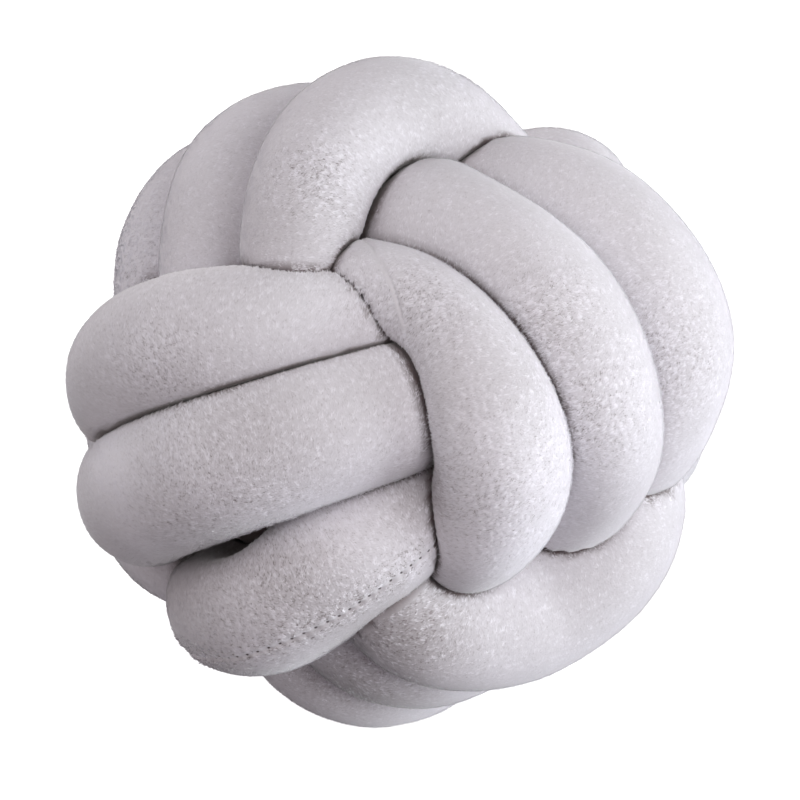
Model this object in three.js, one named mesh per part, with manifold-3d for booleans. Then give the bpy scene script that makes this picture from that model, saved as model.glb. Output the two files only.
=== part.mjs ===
// Knotted ball cushion: one long stuffed plush tube, wound three turns each way into a ball knot.
// Millimetres, +Z up, the front towards -Y. The origin is on the floor, under the middle of the ball's box.

import * as THREE from 'three';
import { LoftGeometry } from 'three/addons/geometries/LoftGeometry.js';
import { mergeVertices } from 'three/addons/utils/BufferGeometryUtils.js';
import Module from 'manifold-3d';

const wasm = await Module();
wasm.setup();

// Where the knot lies: its middle above the floor, and how it has rolled, in degrees
const KNOT_MIDDLE = new THREE.Vector3(0.4, -3.6, 148);
const KNOT_ROLL = { yaw: 36, pitch: 9, roll: 18, lean: 63 };

// Each turn is a loop: crown, tuck, crown, tuck. A crown lies outside, a tuck runs under the next band.
// A higher power squares the loop there.
const CROWN_POWER = 2.1;
const TUCK_POWER = 2.8;

// The three bands and the axes along which their turns are crowned, tucked and set side by side
const BANDS = {
  top: { crown: 'top', tuck: 'left', side: 'right' },
  right: { crown: 'right', tuck: 'top', side: 'left' },
  left: { crown: 'left', tuck: 'right', side: 'top' },
};

// One row for each turn of the tube, measured from the knot's middle to the middle of the tube.
//   crown: distance of the first and the opposite crown
//   tuck: distance of the first and the opposite tuck
//   radius: of the stuffed tube at crown, tuck, opposite crown and opposite tuck
//   side: sideways place at the first crown and every eighth of a turn after it
//   slid: how far the opposite crown has moved along the tuck's axis
const TURNS = [
  { band: 'top', crown: [106, 93], tuck: [68, 61], radius: [27, 20, 30, 22],
    side: [36, 42, 42, 27, 34, 56, 42, 32], slid: 0 },
  { band: 'top', crown: [101, 107], tuck: [62, 62], radius: [29, 25, 25, 22],
    side: [-26, -16, -10, -14, -12, -11, -6, -16], slid: 0 },
  { band: 'top', crown: [93, 114], tuck: [62, 62], radius: [24, 20, 28, 22],
    side: [-70, -64, -52, -51, -50, -50, -52, -62], slid: 0 },
  { band: 'right', crown: [102, 110], tuck: [60, 54], radius: [26, 19, 26, 25],
    side: [36, 37, 58, 52, 51, 64, 29, 32], slid: 0 },
  { band: 'right', crown: [107, 108], tuck: [70, 62], radius: [26, 24, 26, 18],
    side: [-8, -2, 6, 0, -2, -5, -17, -16], slid: -12 },
  { band: 'right', crown: [99, 98], tuck: [72, 53], radius: [27, 25, 26, 22],
    side: [-58, -50, -34, -42, -48, -47, -44, -50], slid: -14 },
  { band: 'left', crown: [100, 102], tuck: [62, 78], radius: [28, 20, 26, 27],
    side: [51, 51, 37, 43, 53, 36, 5, 29], slid: 0 },
  { band: 'left', crown: [107, 104], tuck: [70, 90], radius: [30, 27, 29, 28],
    side: [6, 10, 6, 4, 0, -10, -22, -10], slid: 0 },
  { band: 'left', crown: [92, 99], tuck: [53, 68], radius: [28, 26, 29, 24],
    side: [-55, -41, -28, -46, -60, -56, -46, -55], slid: 0 },
];

// The middle of the ball, where the tucked turns are pressed together into one mass
const PACKED_MIDDLE = { radius: 90, detail: 5 };

// What the floor presses away under the lowest turn
const PRESSED = { width: 400, depth: 60 };

// Faceting of a turn: rings along it, and sides around it
const RINGS = 52;
const SIDES = 16;

const PLUSH = new THREE.MeshStandardMaterial({ color: 0xd3cfd4, roughness: 0.95, metalness: 0 });

/** The knot's own axes, turned as the ball has rolled. */
function knotAxes() {
  const { degToRad } = THREE.MathUtils;
  const turn = new THREE.Matrix4().makeRotationX(degToRad(KNOT_ROLL.lean));
  turn.multiply(new THREE.Matrix4().makeRotationZ(degToRad(KNOT_ROLL.roll)));
  turn.multiply(new THREE.Matrix4().makeRotationX(degToRad(KNOT_ROLL.pitch)));
  turn.multiply(new THREE.Matrix4().makeRotationY(degToRad(KNOT_ROLL.yaw)));
  return {
    left: new THREE.Vector3(-1, 0, 0).applyMatrix4(turn),
    right: new THREE.Vector3(0, 0, 1).applyMatrix4(turn),
    top: new THREE.Vector3(0, 1, 0).applyMatrix4(turn),
  };
}

const AXES = knotAxes();

/** A smooth closed run of values through evenly spaced stations, read from 0 to 1. */
function loopOfValues(stations) {
  const points = stations.map((value) => new THREE.Vector3(value, 0, 0));
  const curve = new THREE.CatmullRomCurve3(points, true, 'catmullrom');
  return (t) => curve.getPoint(t).x;
}

/** One side of a loop: a rounded wave from the first distance to the opposite one. */
function roundedWave(wave, [first, opposite], power) {
  const distance = wave > 0 ? first : opposite;
  return distance * Math.sign(wave) * Math.abs(wave) ** (2 / power);
}

/** The middle line of one turn, with the tube's radius along it. */
class TurnCurve extends THREE.Curve {
  constructor(row) {
    super();
    this.row = row;
    this.axes = BANDS[row.band];
    this.sideAt = loopOfValues(row.side);
    this.radiusAt = loopOfValues(row.radius);
  }

  getPoint(t, target = new THREE.Vector3()) {
    const angle = 2 * Math.PI * t;
    const out = roundedWave(Math.cos(angle), this.row.crown, TUCK_POWER);
    const under = roundedWave(Math.sin(angle), this.row.tuck, CROWN_POWER);
    const slid = (this.row.slid * (1 - Math.cos(angle))) / 2;
    target.copy(KNOT_MIDDLE);
    target.addScaledVector(AXES[this.axes.crown], out);
    target.addScaledVector(AXES[this.axes.tuck], under + slid);
    return target.addScaledVector(AXES[this.axes.side], this.sideAt(t));
  }
}

/** The round section of a turn, square to its middle line. */
function sectionOf(curve, t) {
  const middle = curve.getPoint(t);
  const along = curve.getTangent(t);
  const outward = new THREE.Vector3().crossVectors(along, AXES[curve.axes.side]).normalize();
  const across = new THREE.Vector3().crossVectors(along, outward);
  const radius = curve.radiusAt(t);
  return Array.from({ length: SIDES }, (_, side) => {
    const angle = (2 * Math.PI * side) / SIDES;
    const point = middle.clone().addScaledVector(outward, radius * Math.cos(angle));
    return point.addScaledVector(across, radius * Math.sin(angle));
  });
}

/** One turn of the tube, closed on itself. */
function turnGeometry(row) {
  const curve = new TurnCurve(row);
  const sections = Array.from({ length: RINGS }, (_, ring) => sectionOf(curve, ring / RINGS));
  return new LoftGeometry([...sections, sections[0]]);
}

/** A closed geometry as a solid that can be joined and cut. */
function solidOf(geometry) {
  const bare = new THREE.BufferGeometry().copy(geometry);
  bare.deleteAttribute('normal');
  bare.deleteAttribute('uv');
  const merged = mergeVertices(bare);
  return new wasm.Manifold(new wasm.Mesh({
    numProp: 3,
    vertProperties: new Float32Array(merged.getAttribute('position').array),
    triVerts: new Uint32Array(merged.index.array),
  }));
}

/** A solid back as a geometry. */
function geometryOf(solid) {
  const mesh = solid.getMesh();
  const geometry = new THREE.BufferGeometry();
  geometry.setAttribute('position', new THREE.BufferAttribute(mesh.vertProperties, mesh.numProp));
  geometry.setIndex(new THREE.BufferAttribute(mesh.triVerts, 1));
  geometry.computeVertexNormals();
  return geometry;
}

/** The whole tube: its turns joined where they press together, and flat where the ball rests. */
function knottedTube() {
  const { radius, detail } = PACKED_MIDDLE;
  const packed = new THREE.IcosahedronGeometry(radius, detail).translate(...KNOT_MIDDLE);
  const pressed = new THREE.BoxGeometry(PRESSED.width, PRESSED.width, PRESSED.depth);
  pressed.translate(0, 0, -PRESSED.depth / 2);
  const turns = TURNS.map((row) => solidOf(turnGeometry(row)));
  const knot = turns.reduce((joined, turn) => joined.add(turn), solidOf(packed));
  // Small pockets between the turns are filled: only the outer skin is kept
  const skins = knot.subtract(solidOf(pressed)).decompose();
  const [outer] = skins.sort((a, b) => b.volume() - a.volume());
  const mesh = new THREE.Mesh(geometryOf(outer), PLUSH);
  mesh.name = 'knotted_tube';
  return mesh;
}

const cushion = new THREE.Group();
cushion.add(knottedTube());

export default cushion;
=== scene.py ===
"""Looks of a knotted ball cushion: one stuffed plush tube, wound three turns each way into a ball knot.

Metres, +Z up, the front towards -Y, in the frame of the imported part.
"""

import logging
import math
from dataclasses import dataclass, field
from enum import Enum

import bmesh
import bpy
import numpy as np
from bmesh.types import BMesh
from bpy.types import ID, Material, Mesh, NodeSocket, NodeTree, Object
from mathutils import Matrix, Vector, noise


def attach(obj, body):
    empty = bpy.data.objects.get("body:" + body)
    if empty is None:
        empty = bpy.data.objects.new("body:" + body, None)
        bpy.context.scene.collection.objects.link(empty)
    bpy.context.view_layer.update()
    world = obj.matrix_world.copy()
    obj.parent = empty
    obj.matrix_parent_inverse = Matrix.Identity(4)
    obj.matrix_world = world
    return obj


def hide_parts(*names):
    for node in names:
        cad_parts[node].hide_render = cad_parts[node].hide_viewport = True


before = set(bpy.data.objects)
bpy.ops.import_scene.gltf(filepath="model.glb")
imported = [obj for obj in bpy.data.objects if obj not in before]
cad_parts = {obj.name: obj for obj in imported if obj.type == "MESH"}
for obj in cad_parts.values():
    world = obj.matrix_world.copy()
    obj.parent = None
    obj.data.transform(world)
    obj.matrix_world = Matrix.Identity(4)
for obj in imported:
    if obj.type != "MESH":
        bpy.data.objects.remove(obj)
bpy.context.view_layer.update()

Array = np.ndarray
Pair = tuple[float, float]
Point = tuple[float, float, float]
Colour = tuple[float, float, float]

LOG = logging.getLogger("knotted_ball_cushion")
BODY = "root"
SOLID = "knotted_tube"
TUBE_MAP = "tube"
BAKE_MAP = "OFBake"
TONE = "tone"
TINY = 1e-9

# The nap's darkest and lightest colour; the warm dark end shows mostly as the painted shade of the creases
# and patches
NAP_SHADE = (0.20, 0.150, 0.150)
NAP_LIGHT = (0.98, 0.954, 0.998)


class Way(Enum):
    """The knot's own three directions, named as they lie seen from the front."""

    LEFT = "left"
    RIGHT = "right"
    TOP = "top"


class Band(Enum):
    """The knot's bands: the ways in which their turns are crowned, tucked and set side by side."""

    TOP = (Way.TOP, Way.LEFT, Way.RIGHT)
    RIGHT = (Way.RIGHT, Way.TOP, Way.LEFT)
    LEFT = (Way.LEFT, Way.RIGHT, Way.TOP)


@dataclass(frozen=True)
class KnotPlace:
    """Where the knot lies: its middle above the floor, and how the ball has rolled, in degrees."""

    middle: Point = (0.0004, -0.0036, 0.148)
    yaw: float = 36.0
    pitch: float = 9.0
    roll: float = 18.0
    lean: float = 63.0

    def axes(self) -> dict[Way, Array]:
        """Work out the knot's own directions.

        Returns:
            A unit vector for each way.
        """
        turn = Matrix.Rotation(math.radians(self.lean), 3, "X")
        turn = turn @ Matrix.Rotation(math.radians(self.roll), 3, "Z")
        turn = turn @ Matrix.Rotation(math.radians(self.pitch), 3, "X")
        turn = turn @ Matrix.Rotation(math.radians(self.yaw), 3, "Y")
        return {
            Way.LEFT: np.array(turn @ Vector((-1, 0, 0))),
            Way.RIGHT: np.array(turn @ Vector((0, 0, 1))),
            Way.TOP: np.array(turn @ Vector((0, 1, 0))),
        }


@dataclass(frozen=True)
class Turn:
    """One turn of the tube: a loop of crown, tuck, opposite crown and opposite tuck.

    Distances run from the knot's middle to the middle of the tube. A crown lies outside and a tuck
    runs under the next band. The side is given at the first crown and every eighth of a turn after it.
    Slid is how far the opposite crown has moved along the tuck's way.
    """

    name: str
    band: Band
    crown: Pair
    tuck: Pair
    radius: tuple[float, float, float, float]
    side: tuple[float, float, float, float, float, float, float, float]
    slid: float


TURNS = (
    Turn("top_1", Band.TOP, (0.106, 0.093), (0.068, 0.061), (0.027, 0.020, 0.030, 0.022),
         (0.036, 0.042, 0.042, 0.027, 0.034, 0.056, 0.042, 0.032), 0.000),
    Turn("top_2", Band.TOP, (0.101, 0.107), (0.062, 0.062), (0.029, 0.025, 0.025, 0.022),
         (-0.026, -0.016, -0.010, -0.014, -0.012, -0.011, -0.006, -0.016), 0.000),
    Turn("top_3", Band.TOP, (0.093, 0.114), (0.062, 0.062), (0.024, 0.020, 0.028, 0.022),
         (-0.070, -0.064, -0.052, -0.051, -0.050, -0.050, -0.052, -0.062), 0.000),
    Turn("right_1", Band.RIGHT, (0.102, 0.110), (0.060, 0.054), (0.026, 0.019, 0.026, 0.025),
         (0.036, 0.037, 0.058, 0.052, 0.051, 0.064, 0.029, 0.032), 0.000),
    Turn("right_2", Band.RIGHT, (0.107, 0.108), (0.070, 0.062), (0.026, 0.024, 0.026, 0.018),
         (-0.008, -0.002, 0.006, 0.000, -0.002, -0.005, -0.017, -0.016), -0.012),
    Turn("right_3", Band.RIGHT, (0.099, 0.098), (0.072, 0.053), (0.027, 0.025, 0.026, 0.022),
         (-0.058, -0.050, -0.034, -0.042, -0.048, -0.047, -0.044, -0.050), -0.014),
    Turn("left_1", Band.LEFT, (0.100, 0.102), (0.062, 0.078), (0.028, 0.020, 0.026, 0.027),
         (0.051, 0.051, 0.037, 0.043, 0.053, 0.036, 0.005, 0.029), 0.000),
    Turn("left_2", Band.LEFT, (0.107, 0.104), (0.070, 0.090), (0.030, 0.027, 0.029, 0.028),
         (0.006, 0.010, 0.006, 0.004, 0.000, -0.010, -0.022, -0.010), 0.000),
    Turn("left_3", Band.LEFT, (0.092, 0.099), (0.053, 0.068), (0.028, 0.026, 0.029, 0.024),
         (-0.055, -0.041, -0.028, -0.046, -0.060, -0.056, -0.046, -0.055), 0.000),
)


def loop_of_values(stations: tuple[float, ...], place: Array) -> Array:
    """Read a smooth closed run of values through evenly spaced stations.

    Args:
        stations: Values at even steps round the loop.
        place: Where to read, from 0 to 1 round the loop.

    Returns:
        The value at each place.
    """
    values = np.asarray(stations, float)
    count = len(values)
    step = np.floor(place * count).astype(int)
    weights = cubic_weights(place * count - step)
    return sum(weight * values[(step + shift - 1) % count] for shift, weight in enumerate(weights))


def rounded_wave(wave: Array, reach: Pair, power: float) -> Array:
    """Swing between the first and the opposite distance of a loop, squarer for a higher power."""
    distance = np.where(wave > 0, reach[0], reach[1])
    return distance * np.sign(wave) * np.abs(wave) ** (2 / power)


def soft_lower(first: Array, second: Array, width: float) -> Array:
    """Take the lower of two values, rounding off where they come within a width of each other."""
    near = np.clip(width - np.abs(first - second), 0, None) / width
    return np.minimum(first, second) - near * near * width / 4


def cubic_weights(part: Array) -> tuple[Array, ...]:
    """Weigh four neighbouring values for a smooth run through the middle two.

    Args:
        part: Where to read, from 0 at the second value to 1 at the third.

    Returns:
        The weight of each of the four values.
    """
    square, cube = part**2, part**3
    return (
        (2 * square - part - cube) / 2,
        (2 - 5 * square + 3 * cube) / 2,
        (part + 4 * square - 3 * cube) / 2,
        (cube - square) / 2,
    )


def unit(vectors: Array) -> Array:
    """Scale each vector to length one."""
    return vectors / np.linalg.norm(vectors, axis=-1, keepdims=True)


def nearness(points: Array, middle: Point, size: float) -> Array:
    """Fall off smoothly round a spot, from 1 in its middle."""
    return np.exp(-((points - np.array(middle)) ** 2).sum(1) / size**2)


def mesh_of(name: str, shape: BMesh) -> Mesh:
    """Make a mesh of a finished shape.

    Args:
        name: The mesh's name.
        shape: The shape, which is freed.

    Returns:
        The mesh.
    """
    mesh = bpy.data.meshes.new(name)
    shape.to_mesh(mesh)
    shape.free()
    return mesh


def put_in_scene(name: str, data: ID) -> Object:
    """Put a mesh, light or camera into the scene.

    Args:
        name: The object's name.
        data: The mesh, light or camera.

    Returns:
        The object.
    """
    thing = bpy.data.objects.new(name, data)
    bpy.context.scene.collection.objects.link(thing)
    return thing


@dataclass
class TubeRun:
    """The middle line of one turn at even steps, with the section's directions and the free radius.

    The skin is the turn as pressed, and the room is how far off the next turn is at each of its points.
    """

    turn: Turn
    middle: Array
    along: Array
    inward: Array
    across: Array
    radius: Array
    length: float
    girth: float
    skin: Array | None = None
    room: Array | None = None

    def directions(self, sides: int) -> Array:
        """Point from the middle line to every vertex of every ring.

        Args:
            sides: Steps round the tube; the first and the last are on the hidden inner side.

        Returns:
            Unit vectors, by ring and side.
        """
        angle = np.linspace(0, 2 * math.pi, sides + 1)
        inward = np.cos(angle)[None, :, None] * self.inward[:, None, :]
        return inward + np.sin(angle)[None, :, None] * self.across[:, None, :]

    def read(self, grid: Array, along: Array, around: Array) -> Array:
        """Read values that are kept by ring and side, smoothly between them.

        Args:
            grid: The values, the last ring and side on the first.
            along: Metres along the tube.
            around: Metres around it.

        Returns:
            A value for each place.
        """
        grid = grid[:-1, :-1].reshape(len(grid) - 1, grid.shape[1] - 1, -1)
        rows = along / self.length * grid.shape[0]
        columns = around / self.girth * grid.shape[1]
        row = np.floor(rows).astype(int)
        column = np.floor(columns).astype(int)
        weights = cubic_weights(rows - row), cubic_weights(columns - column)
        value = np.zeros((len(along), grid.shape[2]))
        for step, down in enumerate(weights[0]):
            for shift, over in enumerate(weights[1]):
                near = grid[(row + step - 1) % grid.shape[0], (column + shift - 1) % grid.shape[1]]
                value += (down * over)[:, None] * near
        return value

    def surface(self, along: Array, around: Array) -> Array:
        """Read the skin's points at any places along and around the tube."""
        return self.read(self.skin, along, around)

    def spare(self, along: Array, around: Array) -> Array:
        """Read how far off the next turn is at any places along and around the tube."""
        return self.read(self.room, along, around)[:, 0]

    def facing(self, along: Array, around: Array, step: float = 0.0008) -> Array:
        """Read which way the skin faces.

        Args:
            along: Metres along the tube.
            around: Metres around it.
            step: How far apart the points are that the slope is read from.

        Returns:
            A unit vector for each place, pointing out of the tube.
        """
        down = self.surface(along + step, around) - self.surface(along - step, around)
        over = self.surface(along, around + step) - self.surface(along, around - step)
        return unit(np.cross(down, over))


@dataclass(frozen=True)
class Hollow:
    """A slack hollow in one turn, in metres along and around the tube. Below zero deep, it is fuller."""

    turn: str
    along: float
    around: float
    length: float
    width: float
    depth: float

    def sunk(self, along: Array, around: Array) -> Array:
        """Work out how far the skin is sunk at each place."""
        far = ((along - self.along) / self.length) ** 2 + ((around - self.around) / self.width) ** 2
        return self.depth * np.exp(-far)


@dataclass(frozen=True)
class Neck:
    """A stretch where a turn is thinner all round, so that its neighbours take the room, or fuller."""

    turn: str
    along: float
    length: float
    depth: float

    def thinned(self, along: Array, whole: float) -> Array:
        """Work out what comes off the radius along a turn of the given whole length."""
        far = (along - self.along + whole / 2) % whole - whole / 2
        return self.depth * np.exp(-((far / self.length) ** 2))


@dataclass(frozen=True)
class Seam:
    """A stretch of the sleeve's seam that shows, its path in metres along and around one turn.

    It is a groove, deeper at each hole by the hole's share, with puckers beside it. The pile is parted
    over it, and at its ends it fades.
    """

    turn: str
    path: tuple[Pair, ...]
    groove: float
    width: float
    pitch: float
    pucker: float
    reach: float
    parting: float
    stitched: bool
    fading: float = 0.008
    hole_share: float = 0.35

    def line(self) -> tuple[Array, Array, Array]:
        """Read the path.

        Returns:
            Metres along and around the tube for each of its points, and how far on along the seam they are.
        """
        along, around = np.array(self.path).T
        steps = np.hypot(np.diff(along), np.diff(around))
        return along, around, np.concatenate([[0], np.cumsum(steps)])

    def place(self, along: Array, around: Array) -> tuple[Array, Array, Array]:
        """Measure from the seam.

        Args:
            along: Metres along the tube.
            around: Metres around it.

        Returns:
            How far on along the seam, how far aside from it, and how plain it is, from 0 to 1.
        """
        stations, middle, travelled = self.line()
        lean = np.interp(along, stations, np.gradient(middle, stations))
        aside = (around - np.interp(along, stations, middle)) / np.sqrt(1 + lean * lean)
        ends = np.minimum(along - stations[0], stations[-1] - along)
        return np.interp(along, stations, travelled), aside, np.clip(ends / self.fading, 0, 1)

    def sunk(self, along: Array, around: Array) -> Array:
        """Work out the groove, deeper at each stitch, and the puckers beside it.

        Args:
            along: Metres along the tube.
            around: Metres around it.

        Returns:
            The depth at each place, below zero where a pucker swells.
        """
        travel, aside, plain = self.place(along, around)
        beat = np.cos(2 * math.pi * travel / self.pitch)
        line = np.exp(-((aside / self.width) ** 2))
        beside = (1 - line) * np.exp(-np.abs(aside) / self.reach)
        groove = self.groove * line * (1 - self.hole_share + self.hole_share * beat)
        return plain * (groove - self.pucker * beside * (1 - beat) / 2)


NECKS = (
    Neck("top_1", along=0.015, length=0.012, depth=0.007),
    Neck("right_1", along=0.455, length=0.035, depth=0.0045),
    Neck("right_1", along=0.541, length=0.014, depth=0.006),
    Neck("right_1", along=0.036, length=0.012, depth=0.005),
    Neck("right_2", along=0.519, length=0.018, depth=-0.0060),
    Neck("right_3", along=0.505, length=0.020, depth=-0.0030),
)

HOLLOWS = (
    Hollow("top_1", along=0.405, around=0.144, length=0.030, width=0.008, depth=0.007),
    Hollow("left_3", along=0.401, around=0.125, length=0.027, width=0.012, depth=0.0080),
    Hollow("left_1", along=0.500, around=0.050, length=0.040, width=0.018, depth=-0.003),
    Hollow("left_2", along=0.526, around=0.126, length=0.040, width=0.018, depth=-0.003),
)

SEAMS = (
    Seam("left_3", ((0.330, 0.0730), (0.396, 0.0710), (0.415, 0.0692), (0.435, 0.0668), (0.452, 0.0690),
                    (0.490, 0.0720)),
         groove=0.0011, width=0.0009, pitch=0.0036, pucker=0.0005, reach=0.0035, parting=0.0011,
         stitched=True),
    Seam("right_1", ((0.454, 0.1115), (0.461, 0.1056), (0.471, 0.0944), (0.480, 0.0850), (0.486, 0.0755),
                     (0.500, 0.0600)),
         groove=0.0012, width=0.0008, pitch=0.0026, pucker=0.0003, reach=0.0045, parting=0.0016,
         stitched=False),
)


@dataclass(frozen=True)
class PaintedShadingSpot:
    """A patch of painted light on the pile where its tone is above zero, and of painted shade where it is
    below.
    """

    middle: Point
    size: float
    tone: float


# Patches of painted light (tone above zero) and painted shade (tone below zero), the darkest low under the
# ball and in the wedge between two turns.
PAINTED_SHADING_SPOTS = (
    PaintedShadingSpot((0.000, -0.100, 0.096), 0.028, -0.38),
    PaintedShadingSpot((0.045, -0.112, 0.212), 0.022, -0.10),
    PaintedShadingSpot((0.013, -0.009, 0.272), 0.030, -0.10),
    PaintedShadingSpot((0.010, -0.106, 0.156), 0.012, -0.30),
    PaintedShadingSpot((-0.020, -0.060, 0.045), 0.040, -0.38),
    PaintedShadingSpot((0.039, -0.114, 0.136), 0.028, 0.18),
    PaintedShadingSpot((0.031, -0.125, 0.177), 0.026, 0.12),
    PaintedShadingSpot((-0.025, -0.108, 0.143), 0.020, 0.14),
    PaintedShadingSpot((-0.036, -0.117, 0.124), 0.020, -0.14),
    PaintedShadingSpot((-0.109, -0.084, 0.155), 0.022, 0.20),
    PaintedShadingSpot((-0.028, -0.087, 0.224), 0.022, 0.10),
    PaintedShadingSpot((-0.103, 0.022, 0.203), 0.024, 0.10),
    PaintedShadingSpot((-0.053, -0.111, 0.191), 0.024, -0.10),
    PaintedShadingSpot((-0.039, -0.065, 0.246), 0.030, -0.10),
    PaintedShadingSpot((-0.060, -0.063, 0.113), 0.019, -0.75),
    PaintedShadingSpot((-0.055, -0.076, 0.120), 0.011, -0.55),
    PaintedShadingSpot((0.085, -0.070, 0.095), 0.045, -0.07),
    PaintedShadingSpot((-0.078, -0.106, 0.141), 0.018, -0.10),
)


@dataclass(frozen=True)
class Nap:
    """How light the pile lies: even, but for patches of painted light and shade and the painted shade in the
    creases between turns.
    """

    spots: tuple[PaintedShadingSpot, ...] = PAINTED_SHADING_SPOTS
    even: float = 0.80
    creases: tuple[Pair, ...] = ((0.00028, 0.68), (0.0015, 0.07))

    def tone(self, points: Array, room: Array) -> Array:
        """Work out the pile's tone, its painted light and shade included.

        Args:
            points: Where the pile stands.
            room: How far off the next turn is there.

        Returns:
            A tone for each point, about from 0 to 1.
        """
        tone = np.full(len(points), self.even)
        for spot in self.spots:
            tone += spot.tone * nearness(points, spot.middle, spot.size)
        # Painted shade: darker towards the creases, where the next turn comes close.
        for reach, depth in self.creases:
            tone -= depth * np.exp(-np.clip(room, 0, None) / reach)
        return tone.clip(0, 1)


@dataclass
class StuffedTube:
    """The stuffed plush tube: nine turns, pressed against each other and flat against the floor.

    Each turn is a flat grid of rings and sides, wrapped round the turn's middle line. Its skin goes as far
    out as the stuffing pushes it or as the next turn lets it, with a soft edge to the contact.
    """

    place: KnotPlace
    turns: tuple[Turn, ...]
    crown_power: float = 2.1
    tuck_power: float = 2.8
    rings: int = 144
    sides: int = 60
    fine_steps: int = 1600
    seam_start: float = 0.25
    gap: float = 0.0005
    far_off: float = 0.05
    softness: float = 0.004
    thinnest: float = 0.004
    floor_clearance: float = 0.0003
    lump_size: float = 0.045
    lump_height: float = 0.0009
    dent_size: float = 0.017
    dent_height: float = 0.0003
    seam_zone: float = 0.008
    seam_cuts: int = 5
    contact_stride: int = 2
    fold_limit: float = 0.35
    fold_passes: int = 30
    fold_ease: float = 0.5
    weld: float = 1e-7
    fill: float = 0.85
    necks: tuple[Neck, ...] = NECKS
    hollows: tuple[Hollow, ...] = HOLLOWS
    seams: tuple[Seam, ...] = SEAMS
    nap: Nap = Nap()
    runs: list[TubeRun] = field(default_factory=list)

    def middle_line(self, turn: Turn, place: Array) -> Array:
        """Follow the middle of a turn.

        Args:
            turn: The turn's sizes.
            place: Where to read, from 0 to 1 round the loop.

        Returns:
            A point for each place.
        """
        axes = self.place.axes()
        crown, tuck, side = (axes[way] for way in turn.band.value)
        angle = 2 * math.pi * place
        out = rounded_wave(np.cos(angle), turn.crown, self.tuck_power)
        under = rounded_wave(np.sin(angle), turn.tuck, self.crown_power)
        under = under + turn.slid * (1 - np.cos(angle)) / 2
        aside = loop_of_values(turn.side, place % 1)
        line = out[:, None] * crown + under[:, None] * tuck + aside[:, None] * side
        return np.array(self.place.middle) + line

    def run_of(self, turn: Turn) -> TubeRun:
        """Space a turn's rings evenly, starting at a hidden tuck.

        Args:
            turn: The turn's sizes.

        Returns:
            The turn's middle line and section directions, its last ring on its first.
        """
        fine = self.seam_start + np.linspace(0, 1, self.fine_steps + 1)
        points = self.middle_line(turn, fine)
        steps = np.linalg.norm(np.diff(points, axis=0), axis=1)
        travelled = np.concatenate([[0], np.cumsum(steps)])
        even = np.linspace(0, travelled[-1], self.rings + 1)
        place = np.interp(even, travelled, fine)
        small = 0.5 / self.fine_steps
        along = unit(self.middle_line(turn, place + small) - self.middle_line(turn, place - small))
        side = self.place.axes()[turn.band.value[2]]
        outward = unit(np.cross(along, side))
        radius = loop_of_values(turn.radius, place % 1)
        for neck in self.necks:
            if neck.turn == turn.name:
                radius = radius - neck.thinned(even, travelled[-1])
        return TubeRun(
            turn=turn,
            middle=self.middle_line(turn, place),
            along=along,
            inward=-outward,
            across=np.cross(along, outward),
            radius=radius,
            length=float(travelled[-1]),
            girth=2 * math.pi * float(np.mean(turn.radius)),
        )

    def stuffed(self, run: TubeRun, ways: Array) -> Array:
        """Work out the uneven radius that the stuffing would give a turn lying free.

        Args:
            run: The turn's middle line.
            ways: The directions of its vertices.

        Returns:
            A radius by ring and side.
        """
        radius = np.repeat(run.radius[:, None], ways.shape[1], axis=1)
        points = run.middle[:, None, :] + ways * radius[:, :, None]
        uneven = np.empty_like(radius)
        for index in np.ndindex(radius.shape):
            spot = Vector(points[index])
            lump = self.lump_height * noise.noise(spot / self.lump_size)
            uneven[index] = lump + self.dent_height * noise.noise(spot / self.dent_size)
        along = np.linspace(0, run.length, radius.shape[0])[:, None]
        around = np.linspace(0, run.girth, radius.shape[1])[None, :]
        for hollow in self.hollows:
            if hollow.turn == run.turn.name:
                uneven = uneven - hollow.sunk(along, around)
        return radius + uneven

    def contact(self, run: TubeRun, ways: Array) -> Array:
        """Work out how far each vertex may go before it meets another turn or the floor.

        Args:
            run: The turn's middle line.
            ways: The directions of its vertices.

        Returns:
            A distance from the middle line by ring and side.
        """
        others = [other for other in self.runs if other is not run]
        middles = np.concatenate([other.middle[:-1:self.contact_stride] for other in others])
        radii = np.concatenate([other.radius[:-1:self.contact_stride] for other in others])
        reach = np.full(ways.shape[:2], np.inf)
        for ring, (middle, radius) in enumerate(zip(run.middle, run.radius)):
            apart = middles - middle
            power = (apart * apart).sum(1) + radius**2 - radii**2
            facing = 2 * ways[ring] @ apart.T
            meets = np.where(facing > TINY, power / np.maximum(facing, TINY), np.inf)
            reach[ring] = meets.min(1)
        drop = np.maximum(-ways[:, :, 2], TINY)
        floor = (run.middle[:, None, 2] - self.floor_clearance) / drop
        return np.minimum(reach - self.gap / 2, floor)

    def press(self, run: TubeRun) -> None:
        """Press one turn against its neighbours and keep its skin, by ring and side.

        Args:
            run: The turn's middle line.
        """
        ways = run.directions(self.sides)
        free = self.stuffed(run, ways)
        reach = self.contact(run, ways)
        radius = np.maximum(soft_lower(free, reach, self.softness), self.thinnest)
        radius[-1] = radius[0]
        radius[:, -1] = radius[:, 0]
        run.room = np.minimum(reach - free, self.far_off)
        run.skin = self.unfold(run, run.middle[:, None, :] + ways * radius[:, :, None])

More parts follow.
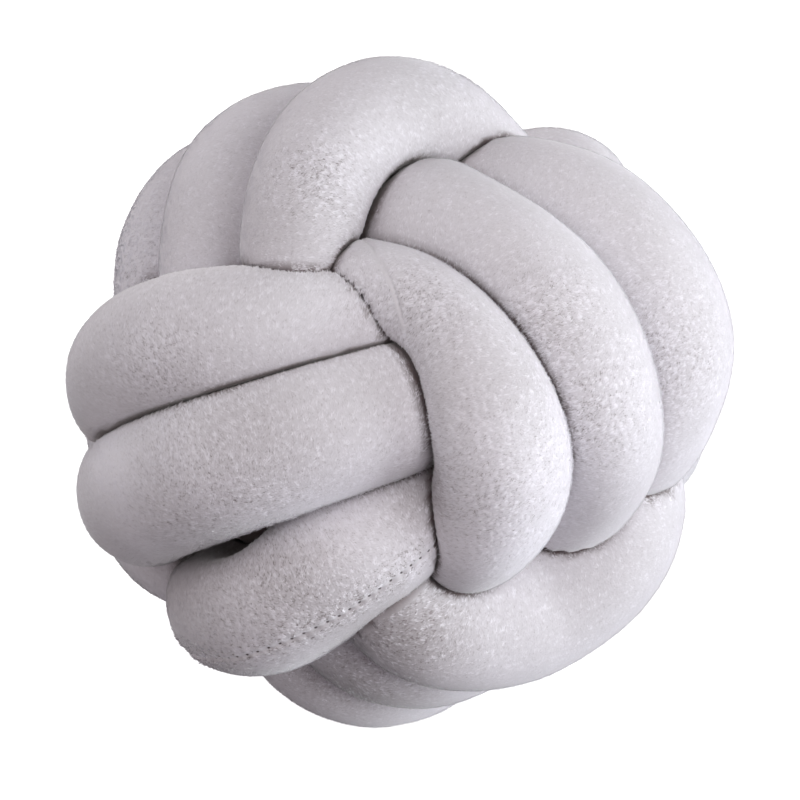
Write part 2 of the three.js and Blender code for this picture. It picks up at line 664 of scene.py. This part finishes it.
    def unfold(self, run: TubeRun, skin: Array) -> Array:
        """Ease the rings apart where they crowd on the inside of a bend.

        Args:
            run: The turn's middle line.
            skin: The points of its skin, the last ring on the first.

        Returns:
            The eased points.
        """
        loop = skin[:-1].copy()
        along = run.along[:-1, None, :]
        least = self.fold_limit * run.length / len(loop)
        for _ in range(self.fold_passes):
            spread = (np.roll(loop, -1, axis=0) - np.roll(loop, 1, axis=0)) / 2
            crowded = np.clip(1 - (spread * along).sum(2) / least, 0, 1)
            beside = (np.roll(crowded, 1, axis=0) + np.roll(crowded, -1, axis=0)) / 2
            crowded = np.maximum(crowded, beside)
            eased = (np.roll(loop, 2, axis=0) + np.roll(loop, -2, axis=0)) / 2
            loop += self.fold_ease * crowded[:, :, None] * (eased - loop)
        return np.concatenate([loop, loop[:1]])

    def build(self) -> Object:
        """Make the mesh of the whole tube, each turn closed on itself.

        Returns:
            The stuffed tube.
        """
        self.runs = [self.run_of(turn) for turn in self.turns]
        for run in self.runs:
            self.press(run)
        shape = bmesh.new()
        for number, run in enumerate(self.runs):
            turn = self.turn_mesh(run, number)
            shape.from_mesh(turn)
            bpy.data.meshes.remove(turn)
        for face in shape.faces:
            face.smooth = True
        return put_in_scene("stuffed_tube", mesh_of("stuffed_tube", shape))

    def turn_mesh(self, run: TubeRun, number: int) -> Mesh:
        """Wrap a grid round one turn and weld its edges.

        Args:
            run: The turn's middle line.
            number: The turn's place in the tube.

        Returns:
            The turn's mesh, with a map of metres along and around the tube, and a map that sets the
            turns beside each other in one square.
        """
        shape = bmesh.new()
        tube_map = shape.loops.layers.uv.new(TUBE_MAP)
        bake_map = shape.loops.layers.uv.new(BAKE_MAP)
        tone_of = shape.verts.layers.float.new(TONE)
        bmesh.ops.create_grid(shape, x_segments=self.rings, y_segments=self.sides, size=0.5)
        seams = [seam for seam in self.seams if seam.turn == run.turn.name]
        for seam in seams:
            self.refine(shape, run, seam)
        for face in shape.faces:
            for loop in face.loops:
                along = loop.vert.co.x + 0.5
                around = loop.vert.co.y + 0.5
                loop[tube_map].uv = (along * run.length, around * run.girth)
                loop[bake_map].uv = (along, (number + around) / len(self.turns))
        along, around = self.places(shape, run)
        points = run.surface(along, around)
        for seam in seams:
            points -= run.facing(along, around) * seam.sunk(along, around)[:, None]
        # The skin's tone carries the painted shade of the creases and the patches of painted light and
        # shade.
        tones = self.nap.tone(points, run.spare(along, around))
        border = [vert for vert in shape.verts if vert.is_boundary]
        for vert, point, tone in zip(shape.verts, points, tones):
            vert.co = point
            vert[tone_of] = tone
        bmesh.ops.remove_doubles(shape, verts=border, dist=self.weld)
        return mesh_of(run.turn.name, shape)

    @staticmethod
    def places(shape: BMesh, run: TubeRun) -> tuple[Array, Array]:
        """Read a turn's flat grid: metres along and around the tube for each of its points."""
        flat = np.array([vert.co for vert in shape.verts]) + 0.5
        return flat[:, 0] * run.length, flat[:, 1] * run.girth

    def refine(self, shape: BMesh, run: TubeRun, seam: Seam) -> None:
        """Cut a turn's flat grid finer along a seam.

        Args:
            shape: The mesh that holds the grid.
            run: The turn's middle line.
            seam: The seam.
        """
        _, aside, plain = seam.place(*self.places(shape, run))
        near = (np.abs(aside) < self.seam_zone) & (plain > 0)
        zone = {vert for vert, inside in zip(shape.verts, near) if inside}
        edges = {edge for vert in zone for edge in vert.link_edges if edge.other_vert(vert) in zone}
        bmesh.ops.subdivide_edges(shape, edges=list(edges), cuts=self.seam_cuts, use_grid_fill=True)

    def dress(self, tube: Object, plush: Material) -> None:
        """Give the tube its plush, attach it to the body and hide the solid that it stands for.

        Args:
            tube: The stuffed tube.
            plush: Its finish.
        """
        tube.data.materials.append(plush)
        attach(tube, BODY)
        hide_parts(SOLID)


@dataclass(frozen=True)
class FluffySpot:
    """A patch where the pile stands up in plain tufts."""

    middle: Point
    size: float


FLUFFY_SPOTS = (
    FluffySpot((0.033, -0.121, 0.160), 0.032),
    FluffySpot((-0.040, -0.117, 0.112), 0.026),
    FluffySpot((-0.065, -0.112, 0.152), 0.034),
    FluffySpot((0.002, -0.090, 0.086), 0.024),
    FluffySpot((-0.060, -0.108, 0.092), 0.020),
    FluffySpot((-0.030, -0.050, 0.262), 0.015),
    FluffySpot((0.006, -0.092, 0.230), 0.018),
    FluffySpot((0.070, -0.097, 0.183), 0.022),
    FluffySpot((0.057, -0.088, 0.222), 0.016),
    FluffySpot((0.098, -0.058, 0.190), 0.022),
    FluffySpot((-0.088, -0.090, 0.200), 0.018),
    FluffySpot((-0.020, -0.062, 0.045), 0.024),
    FluffySpot((0.080, 0.075, 0.190), 0.030),
    FluffySpot((-0.060, 0.105, 0.140), 0.032),
    FluffySpot((0.015, 0.040, 0.268), 0.022),
    FluffySpot((-0.112, 0.025, 0.190), 0.024),
    FluffySpot((0.105, 0.040, 0.090), 0.026),
)


@dataclass
class Roots:
    """The fibres' roots: the skin's face and turn, the place along and around it, and the point.

    With them go how fluffy the pile is there, how deep it is sunk and how far off the next turn is.
    """

    face: Array
    turn: Array
    place: Array
    point: Array
    fluff: Array
    depth: Array
    room: Array

    def only(self, kept: Array) -> "Roots":
        """Leave out all the roots but some."""
        return Roots(*(values[kept] for values in vars(self).values()))


@dataclass
class ShortPile:
    """The plush's short pile: fibres brushed across the tube, in tufts where it is fluffy.

    Their lift and their swing away from straight across are in degrees. They stand only where the skin
    shows: far enough from the knot's middle, not facing it, and with room to the next turn.
    """

    tube: StuffedTube
    shares: int = 4
    spots: tuple[FluffySpot, ...] = FLUFFY_SPOTS
    fibres: int = 190_000
    spare: float = 1.3
    length: Pair = (0.0012, 0.0022)
    width: float = 0.0005
    lift: Pair = (8.0, 38.0)
    stray: float = 26.0
    tuft_size: float = 0.0015
    tuft_step: float = 0.0001875
    tuft_swing: float = 55.0
    tuft_height: float = 0.0003
    tuft_tone: float = 0.75
    tuft_mixing: float = 0.28
    brush_size: float = 0.024
    brush_swing: float = 60.0
    least_fluff: float = 0.30
    seam_fluff: float = 0.008
    seam_tufts: float = 2.2
    seam_plain: float = 0.5
    softness: float = 0.85
    sunk: float = 0.00012
    least_room: float = -0.0008
    least_face_room: float = -0.0016
    least_facing: float = -0.4
    showing: float = 0.084
    seed: int = 11
    points: Array | None = None
    normals: Array | None = None
    tones: Array | None = None
    tube_map: Array | None = None
    bake_map: Array | None = None

    def faces(self) -> tuple[Array, Array]:
        """Collect the skin's faces.

        Returns:
            The four corners of each face, and whether the face shows on the finished ball.
        """
        corners = []
        shows = []
        for run in self.tube.runs:
            skin = run.skin
            quads = np.stack([skin[:-1, :-1], skin[1:, :-1], skin[1:, 1:], skin[:-1, 1:]], axis=2)
            quads = quads.reshape(-1, 4, 3)
            out = quads.mean(1) - np.array(self.tube.place.middle)
            far = np.linalg.norm(out, axis=1)
            normal = unit(np.cross(quads[:, 1] - quads[:, 0], quads[:, 3] - quads[:, 0]))
            facing = (normal * out).sum(1) > self.least_facing * far
            room = run.room[:-1, :-1].reshape(-1) > self.least_face_room
            corners.append(quads)
            shows.append(room & facing & (far > self.showing))
        return np.concatenate(corners), np.concatenate(shows)

    def fluff_at(self, root: Array) -> Array:
        """Work out how fluffy the pile is.

        Args:
            root: Where the fibres stand.

        Returns:
            How fluffy it is at each fibre, up to 1.
        """
        smooth = np.full(len(root), 1 - self.least_fluff)
        for spot in self.spots:
            smooth *= 1 - nearness(root, spot.middle, spot.size)
        return 1 - smooth

    def tuft_at(self, root: Array) -> Array:
        """Read how high in a tuft each fibre stands, about from -1 between tufts to 1 on their tops."""
        return np.array([noise.noise(spot) for spot in (root / self.tuft_size).tolist()])

    def turn_sizes(self) -> Array:
        """Read the length and the girth of each turn."""
        return np.array([(run.length, run.girth) for run in self.tube.runs])

    def scatter(self, rng: np.random.Generator, corners: Array, shows: Array) -> Roots:
        """Scatter roots evenly over the skin that shows, but not on the seams or where turns press together.

        Args:
            rng: Where the chances come from.
            corners: The four corners of each face of the skin.
            shows: Whether the face shows.

        Returns:
            A root for each fibre.
        """
        count = self.fibres * self.shares
        square = np.cross(corners[:, 1] - corners[:, 0], corners[:, 3] - corners[:, 0])
        chance = np.cumsum(np.linalg.norm(square, axis=1) * shows)
        tries = int(count * self.spare)
        face = np.searchsorted(chance, rng.random(tries) * chance[-1])
        part = rng.random((2, tries))
        one, two, three, four = (corners[face, corner] for corner in range(4))
        near = one + part[0][:, None] * (two - one)
        point = near + part[1][:, None] * (four + part[0][:, None] * (three - four) - near)
        fluff = self.fluff_at(point)

        rings, sides = self.tube.rings, self.tube.sides
        turn, cell = np.divmod(face, rings * sides)
        share = np.stack([(cell // sides + part[0]) / rings, (cell % sides + part[1]) / sides], axis=1)
        place = share * self.turn_sizes()[turn]
        depth = np.full(tries, self.sunk)
        room = np.zeros(tries)
        for number, run in enumerate(self.tube.runs):
            here = turn == number
            room[here] = run.spare(*place[here].T)
        parted = room < self.least_room
        names = [run.turn.name for run in self.tube.runs]
        for seam in self.tube.seams:
            here = turn == names.index(seam.turn)
            _, aside, plain = seam.place(*place[here].T)
            parted[here] |= (np.abs(aside) < seam.parting) & (plain > self.seam_plain)
            depth[here] += seam.sunk(*place[here].T)
            if seam.stitched:
                tufts = self.seam_tufts * plain * np.exp(-((aside / self.seam_fluff) ** 2))
                fluff[here] = np.maximum(fluff[here], tufts)
        return Roots(face, turn, place, point, fluff, depth, room).only(np.flatnonzero(~parted)[:count])

    def plant(self) -> None:
        """Plant all the fibres and tone them, with painted shade in the hollows between the tufts."""
        rng = np.random.default_rng(self.seed)
        corners, shows = self.faces()
        roots = self.scatter(rng, corners, shows)
        count = len(roots.face)
        fluff = roots.fluff
        one, two, four = (corners[roots.face, corner] for corner in (0, 1, 3))
        normal = unit(np.cross(two - one, four - one))
        down = unit(two - one)
        over = np.cross(normal, down)

        tuft = self.tuft_at(roots.point)
        slope = np.zeros_like(normal)
        for way in (down, over):
            slope += (self.tuft_at(roots.point + self.tuft_step * way) - tuft)[:, None] * way
        slope *= (fluff * self.tuft_height / self.tuft_step)[:, None]
        # Painted shade in the hollows between the tufts, lighter on their tops, with a random grain on top
        # of it.
        tuft_shade_and_grain = self.tuft_tone * fluff * (tuft + rng.normal(0, self.tuft_mixing, count))
        # The nap's tone adds the painted crease shade and the patches of painted light and shade.
        self.tones = (self.tube.nap.tone(roots.point, roots.room) + tuft_shade_and_grain).clip(0, 1)

        brush = np.array([noise.noise(Vector(spot) / self.brush_size) for spot in corners[:, 0]])
        swing = self.brush_swing * brush[roots.face] + self.tuft_swing * fluff * tuft
        swing = np.radians(swing + rng.normal(0, self.stray, count))
        height = (0.5 + tuft.clip(-0.5, 0.5) + rng.random(count)) / 2
        low, high = self.lift
        rise = np.radians(low + (high - low) * height * fluff.clip(0, 1))
        flat = np.cos(swing)[:, None] * over + np.sin(swing)[:, None] * down
        way = np.cos(rise)[:, None] * flat + np.sin(rise)[:, None] * normal
        half = unit(np.cross(normal, way)) * self.width / 2
        raised = self.tuft_height * fluff * tuft.clip(0, None) - roots.depth
        root = roots.point + raised[:, None] * normal
        short, tall = self.length
        reach = short + (tall - short) * height
        self.points = np.stack([root + half, root - half, root + way * reach[:, None]], axis=1)
        facing = np.cos(rise)[:, None] * normal - np.sin(rise)[:, None] * flat
        self.normals = unit(normal - slope + ((1 - self.softness) * fluff)[:, None] * (facing - normal))

        aside = np.stack([-np.cos(swing), np.sin(swing)], axis=1) * self.width / 2
        ahead = np.stack([np.sin(swing), np.cos(swing)], axis=1) * (reach * np.cos(rise))[:, None]
        self.tube_map = np.stack([roots.place + aside, roots.place - aside, roots.place + ahead], axis=1)
        share = (self.tube_map / self.turn_sizes()[roots.turn][:, None, :]).clip(0, 1)
        share[:, :, 1] += roots.turn[:, None]
        self.bake_map = share / np.array([1, len(self.tube.runs)])

    def build(self, name: str, share: int) -> Object:
        """Make one share of the planted fibres.

        Args:
            name: The piece's name.
            share: Which share it is.

        Returns:
            The fibres, as one piece.
        """
        part = slice(share * self.fibres, (share + 1) * self.fibres)
        points = self.points[part].reshape(-1, 3)
        mesh = bpy.data.meshes.new(name)
        mesh.from_pydata(points, [], np.arange(len(points)).reshape(-1, 3))
        mesh.uv_layers.new(name=TUBE_MAP).data.foreach_set("uv", self.tube_map[part].ravel())
        mesh.uv_layers.new(name=BAKE_MAP).data.foreach_set("uv", self.bake_map[part].ravel())
        tone = mesh.attributes.new(TONE, "FLOAT", "FACE")
        tone.data.foreach_set("value", self.tones[part])
        mesh.normals_split_custom_set_from_vertices(np.repeat(self.normals[part], 3, axis=0))
        return put_in_scene(name, mesh)

    def dress(self, pile: Object, finish: Material) -> None:
        """Give the fibres their finish, cast no shadow from them and attach them to the body.

        Args:
            pile: One share of the fibres.
            finish: Its finish.
        """
        pile.data.materials.append(finish)
        pile.visible_shadow = False
        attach(pile, BODY)


@dataclass
class Stitches:
    """The thread that shows in the sewn seams: a short sunk length at each puckered hole."""

    tube: StuffedTube
    length: float = 0.0014
    radius: float = 0.00055
    sides: int = 8
    rings: int = 6

    def build(self) -> Object:
        """Lay the thread in every stitched seam.

        Returns:
            All the stitches, as one piece.
        """
        runs = {run.turn.name: run for run in self.tube.runs}
        shape = bmesh.new()
        for seam in self.tube.seams:
            if seam.stitched:
                self.lay(shape, seam, runs[seam.turn])
        for face in shape.faces:
            face.smooth = True
        return put_in_scene("stitches", mesh_of("stitches", shape))

    def lay(self, shape: BMesh, seam: Seam, run: TubeRun) -> None:
        """Lay the stitches of one seam, each a stretched bead along it.

        Args:
            shape: The mesh that takes them.
            seam: The seam.
            run: The turn that it is in.
        """
        stations, middle, travelled = seam.line()
        holes = np.arange(seam.pitch, travelled[-1], seam.pitch)
        reach = np.array([-0.5, 0.0, 0.5]) * self.length
        along = np.interp((holes[:, None] + reach).ravel(), travelled, stations)
        around = np.interp(along, stations, middle)
        normals = run.facing(along, around)
        lines = run.surface(along, around) - seam.sunk(along, around)[:, None] * normals
        for line, normal in zip(lines.reshape(-1, 3, 3), normals[1::3]):
            ahead = unit(line[2] - line[0])
            aside = unit(np.cross(ahead, normal))
            axes = (self.radius * np.cross(aside, ahead), self.radius * aside, self.length / 2 * ahead)
            place = Matrix.Translation(line[1]) @ Matrix(axes).transposed().to_4x4()
            bmesh.ops.create_uvsphere(
                shape, u_segments=self.sides, v_segments=self.rings, radius=1, matrix=place)

    def dress(self, thread: Object, finish: Material) -> None:
        """Give the thread its finish and attach it to the body.

        Args:
            thread: The stitches.
            finish: Its finish.
        """
        thread.data.materials.append(finish)
        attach(thread, BODY)


def plain_finish(name: str, values: dict[str, float | tuple[float, ...]]) -> Material:
    """Start a material.

    Args:
        name: Its name.
        values: What its shader has all over, by socket.

    Returns:
        The material.
    """
    material = bpy.data.materials.new(name)
    material.use_nodes = True
    shader = material.node_tree.nodes["Principled BSDF"]
    for socket, value in values.items():
        shader.inputs[socket].default_value = value
    return material


def noise_at(tree: NodeTree, place: NodeSocket,
             grain: Pair) -> NodeSocket:
    """Add a noise texture.

    Args:
        tree: The material's nodes.
        place: Where the noise is read.
        grain: Its scale and its finer layers.

    Returns:
        The noise, about 0.5.
    """
    texture = tree.nodes.new("ShaderNodeTexNoise")
    texture.inputs["Scale"].default_value, texture.inputs["Detail"].default_value = grain
    tree.links.new(place, texture.inputs["Vector"])
    return texture.outputs["Fac"]


def mixed(tree: NodeTree, first: NodeSocket, second: NodeSocket,
          share: float) -> NodeSocket:
    """Mix two values.

    Args:
        tree: The material's nodes.
        first: One value.
        second: The other value.
        share: The other's share.

    Returns:
        The mixed value.
    """
    mix = tree.nodes.new("ShaderNodeMix")
    mix.inputs["Factor"].default_value = share
    tree.links.new(first, mix.inputs["A"])
    tree.links.new(second, mix.inputs["B"])
    return mix.outputs["Result"]


def tinted(tree: NodeTree, factor: NodeSocket, shade: Colour,
           light: Colour) -> NodeSocket:
    """Blend from a shade to a light colour.

    Args:
        tree: The material's nodes.
        factor: How light it is, from 0 to 1.
        shade: The darker colour.
        light: The lighter colour.

    Returns:
        The blended colour.
    """
    colour = tree.nodes.new("ShaderNodeMix")
    colour.data_type = "RGBA"
    colour.inputs["A"].default_value = (*shade, 1)
    colour.inputs["B"].default_value = (*light, 1)
    tree.links.new(factor, colour.inputs["Factor"])
    return colour.outputs["Result"]


def toned(tree: NodeTree, unevenness: NodeSocket, share: float) -> NodeSocket:
    """Read the nap's tone, with its painted light and shade, and make it uneven.

    Args:
        tree: The material's nodes.
        unevenness: A noise about 0.5.
        share: How much of it is added.

    Returns:
        The tone, about from 0 to 1.
    """
    tone = tree.nodes.new("ShaderNodeAttribute")
    tone.attribute_name = TONE
    uneven = tree.nodes.new("ShaderNodeMath")
    uneven.operation = "MULTIPLY_ADD"
    uneven.inputs[1].default_value = share
    tree.links.new(unevenness, uneven.inputs[0])
    tree.links.new(tone.outputs["Fac"], uneven.inputs[2])
    middle = tree.nodes.new("ShaderNodeMath")
    middle.operation = "SUBTRACT"
    middle.inputs[1].default_value = share / 2
    tree.links.new(uneven.outputs["Value"], middle.inputs[0])
    return middle.outputs["Value"]


@dataclass(frozen=True)
class FibreFinish:
    """The pile's fibres: each has its own tone, painted light and shade included, and the nap is a little
    uneven in patches.
    """

    shade: Colour = NAP_SHADE
    light: Colour = NAP_LIGHT
    roughness: float = 0.9
    sheen: float = 0.8
    sheen_roughness: float = 0.4
    shine: float = 0.1
    patch: Pair = (26.0, 3.0)
    patch_tone: float = 0.12

    def material(self) -> Material:
        """Build the fibres' material.

        Returns:
            The material.
        """
        fibre = plain_finish("pile", {
            "Roughness": self.roughness,
            "Specular IOR Level": self.shine,
            "Sheen Weight": self.sheen,
            "Sheen Roughness": self.sheen_roughness,
        })
        tree = fibre.node_tree
        place = tree.nodes.new("ShaderNodeTexCoord").outputs["Object"]
        tone = toned(tree, noise_at(tree, place, self.patch), self.patch_tone)
        colour = tinted(tree, tone, self.shade, self.light)
        tree.links.new(colour, tree.nodes["Principled BSDF"].inputs["Base Color"])
        return fibre


@dataclass(frozen=True)
class ShadedThreadFinish:
    """The seam's thread, dark grey as a painted shade of the needle holes, uneven along its twist."""

    # A dark grey that stands for the shade in the needle holes: painted shade.
    shade: Colour = (0.09, 0.077, 0.08)
    light: Colour = (0.15, 0.13, 0.135)
    roughness: float = 0.8
    twist: Pair = (2400.0, 1.0)

    def material(self) -> Material:
        """Build the thread's material.

        Returns:
            The material.
        """
        thread = plain_finish("thread", {"Roughness": self.roughness})
        tree = thread.node_tree
        place = tree.nodes.new("ShaderNodeTexCoord").outputs["Object"]
        colour = tinted(tree, noise_at(tree, place, self.twist), self.shade, self.light)
        tree.links.new(colour, tree.nodes["Principled BSDF"].inputs["Base Color"])
        return thread


@dataclass(frozen=True)
class PlushFinish:
    """Short-pile plush: a pale warm grey nap, brushed in patches, with fine streaks across the tube and the
    painted light and shade of its tone.
    """

    shade: Colour = NAP_SHADE
    light: Colour = NAP_LIGHT
    roughness: float = 0.95
    sheen: float = 0.5
    sheen_roughness: float = 0.45
    shine: float = 0.15
    patch: Pair = (26.0, 3.0)
    patch_share: float = 0.6
    patch_tone: float = 0.3
    speck: Pair = (1300.0, 2.0)
    speck_share: float = 0.5
    streak: Pair = (1.0, 2.0)
    streak_repeats: tuple[float, float, float] = (2200.0, 620.0, 1.0)
    nap_height: float = 0.0006
    nap_strength: float = 0.35

    def material(self) -> Material:
        """Build the plush's nodes.

        Returns:
            The material.
        """
        plush = plain_finish("plush", {
            "Roughness": self.roughness,
            "Specular IOR Level": self.shine,
            "Sheen Weight": self.sheen,
            "Sheen Roughness": self.sheen_roughness,
        })
        tree = plush.node_tree
        links = tree.links
        shader = tree.nodes["Principled BSDF"]
        place = tree.nodes.new("ShaderNodeTexCoord").outputs["Object"]
        tube = tree.nodes.new("ShaderNodeUVMap")
        tube.uv_map = TUBE_MAP
        stretch = tree.nodes.new("ShaderNodeMapping")
        stretch.inputs["Scale"].default_value = self.streak_repeats
        links.new(tube.outputs["UV"], stretch.inputs["Vector"])
        streak = noise_at(tree, stretch.outputs["Vector"], self.streak)
        nap = mixed(tree, streak, noise_at(tree, place, self.speck), self.speck_share)
        uneven = mixed(tree, nap, noise_at(tree, place, self.patch), self.patch_share)
        tone = toned(tree, uneven, self.patch_tone)
        links.new(tinted(tree, tone, self.shade, self.light), shader.inputs["Base Color"])
        bump = tree.nodes.new("ShaderNodeBump")
        bump.inputs["Strength"].default_value = self.nap_strength
        bump.inputs["Distance"].default_value = self.nap_height
        links.new(nap, bump.inputs["Height"])
        links.new(bump.outputs["Normal"], shader.inputs["Normal"])
        return plush


@dataclass(frozen=True)
class FloorFinish:
    """Plain pale floor, with a white glow so that it is as pale as the photograph's ground."""

    colour: tuple[float, float, float, float] = (0.92, 0.92, 0.92, 1.0)
    roughness: float = 0.9
    shine: float = 0.1
    glow: float = 0.8
    glow_colour: tuple[float, float, float, float] = (1.0, 1.0, 1.0, 1.0)

    def material(self) -> Material:
        """Build the floor's material."""
        return plain_finish("pale_floor", {
            "Base Color": self.colour,
            "Roughness": self.roughness,
            "Specular IOR Level": self.shine,
            "Emission Color": self.glow_colour,
            "Emission Strength": self.glow,
        })


@dataclass(frozen=True)
class SoftLight:
    """A square soft light that faces the cushion."""

    name: str
    place: Point
    width: float
    watts: float
    colour: Colour

    def hang(self, target: Vector) -> Object:
        """Hang the light so that it faces a point.

        Args:
            target: The point that it lights.

        Returns:
            The light.
        """
        lamp = bpy.data.lights.new(self.name, "AREA")
        lamp.size = self.width
        lamp.energy = self.watts
        lamp.color = self.colour
        light = put_in_scene(self.name, lamp)
        light.location = self.place
        light.rotation_euler = (target - light.location).to_track_quat("-Z", "Y").to_euler()
        return light


@dataclass
class Studio:
    """Floor, lights and camera round the cushion."""

    target: Point
    floor_width: float = 8.0
    floor_height: float = -0.0004
    floor_cells: int = 4
    floor_finish: FloorFinish = FloorFinish()
    camera_distance: float = 1.3
    camera_elevation: float = 27.0
    lens: float = 145.1
    shift: Pair = (0.0025, -0.01125)
    sky_left: Colour = (0.75, 0.69, 0.68)
    sky_right: Colour = (0.01, 0.01, 0.01)
    low_left: Colour = (0.12, 0.11, 0.115)
    low_right: Colour = (0.54, 0.52, 0.60)
    daylight_strength: float = 0.85
    height_range: Pair = (-0.5, 0.4)
    side_range: Pair = (-0.6, 0.8)
    lights: tuple[SoftLight, ...] = (
        SoftLight("key_light", (2.17, -0.38, 0.14), 1.3, 29.5, (0.92, 1.0, 1.0)),
        SoftLight("front_light", (1.1, -1.52, 1.3), 1.3, 17.2, (1.0, 1.0, 1.0)),
        SoftLight("fill_light", (-1.3, 0.16, 1.9), 1.3, 4.6, (0.81, 1.0, 1.1)),
        SoftLight("back_light", (-0.95, 1.85, 0.75), 1.3, 11.0, (1.0, 0.98, 0.99)),
    )

    def lay_floor(self) -> Object:
        """Lay the floor under the cushion.

        Returns:
            The floor.
        """
        shape = bmesh.new()
        cells = self.floor_cells
        bmesh.ops.create_grid(shape, x_segments=cells, y_segments=cells, size=self.floor_width / 2)
        bmesh.ops.translate(shape, verts=shape.verts, vec=(0, 0, self.floor_height))
        floor = put_in_scene("floor", mesh_of("floor", shape))
        floor.data.materials.append(self.floor_finish.material())
        floor.visible_diffuse = False
        floor.visible_shadow = False
        return floor

    def light(self) -> None:
        """Hang the lights and set the even daylight."""
        for light in self.lights:
            light.hang(Vector(self.target))
        world = bpy.data.worlds.new("daylight")
        world.use_nodes = True
        tree = world.node_tree
        links = tree.links
        way = tree.nodes.new("ShaderNodeTexCoord")
        parts = tree.nodes.new("ShaderNodeSeparateXYZ")
        links.new(way.outputs["Generated"], parts.inputs["Vector"])
        share = {}
        for axis, ends in (("X", self.side_range), ("Z", self.height_range)):
            spread = tree.nodes.new("ShaderNodeMapRange")
            spread.inputs["From Min"].default_value, spread.inputs["From Max"].default_value = ends
            links.new(parts.outputs[axis], spread.inputs["Value"])
            share[axis] = spread.outputs["Result"]
        colour = tree.nodes.new("ShaderNodeMix")
        colour.data_type = "RGBA"
        links.new(tinted(tree, share["X"], self.low_left, self.low_right), colour.inputs["A"])
        links.new(tinted(tree, share["X"], self.sky_left, self.sky_right), colour.inputs["B"])
        links.new(share["Z"], colour.inputs["Factor"])
        background = tree.nodes["Background"]
        background.inputs["Strength"].default_value = self.daylight_strength
        links.new(colour.outputs["Result"], background.inputs["Color"])
        bpy.context.scene.world = world
        bpy.context.scene.view_settings.view_transform = "Standard"

    def set_camera(self) -> Object:
        """Stand the camera at the photograph's angle.

        Returns:
            The camera.
        """
        tilt = math.radians(self.camera_elevation)
        back = Vector((0, -math.cos(tilt), math.sin(tilt)))
        lens = bpy.data.cameras.new("camera")
        lens.lens = self.lens
        lens.shift_x, lens.shift_y = self.shift
        camera = put_in_scene("camera", lens)
        camera.location = Vector(self.target) + self.camera_distance * back
        camera.rotation_euler = (math.pi / 2 - tilt, 0, 0)
        bpy.context.scene.camera = camera
        return camera


def main() -> None:
    """Build the cushion and its studio, and report each piece."""
    logging.basicConfig(level=logging.INFO, format="%(name)s: %(message)s")
    place = KnotPlace()
    plush = PlushFinish().material()

    tube = StuffedTube(place, TURNS)
    stuffed = tube.build()
    tube.dress(stuffed, plush)
    LOG.info("%s: %d faces", stuffed.name, len(stuffed.data.polygons))

    pile = ShortPile(tube)
    pile.plant()
    nap = FibreFinish().material()
    for share in range(pile.shares):
        fibres = pile.build(f"pile_{share + 1}", share)
        pile.dress(fibres, nap)
        LOG.info("%s: %d fibres", fibres.name, len(fibres.data.polygons))

    stitches = Stitches(tube)
    thread = stitches.build()
    stitches.dress(thread, ShadedThreadFinish().material())
    LOG.info("%s: %d faces", thread.name, len(thread.data.polygons))

    studio = Studio(place.middle)
    floor = studio.lay_floor()
    studio.light()
    camera = studio.set_camera()
    LOG.info("%s and %s set", floor.name, camera.name)


if __name__ == "__main__":
    main()
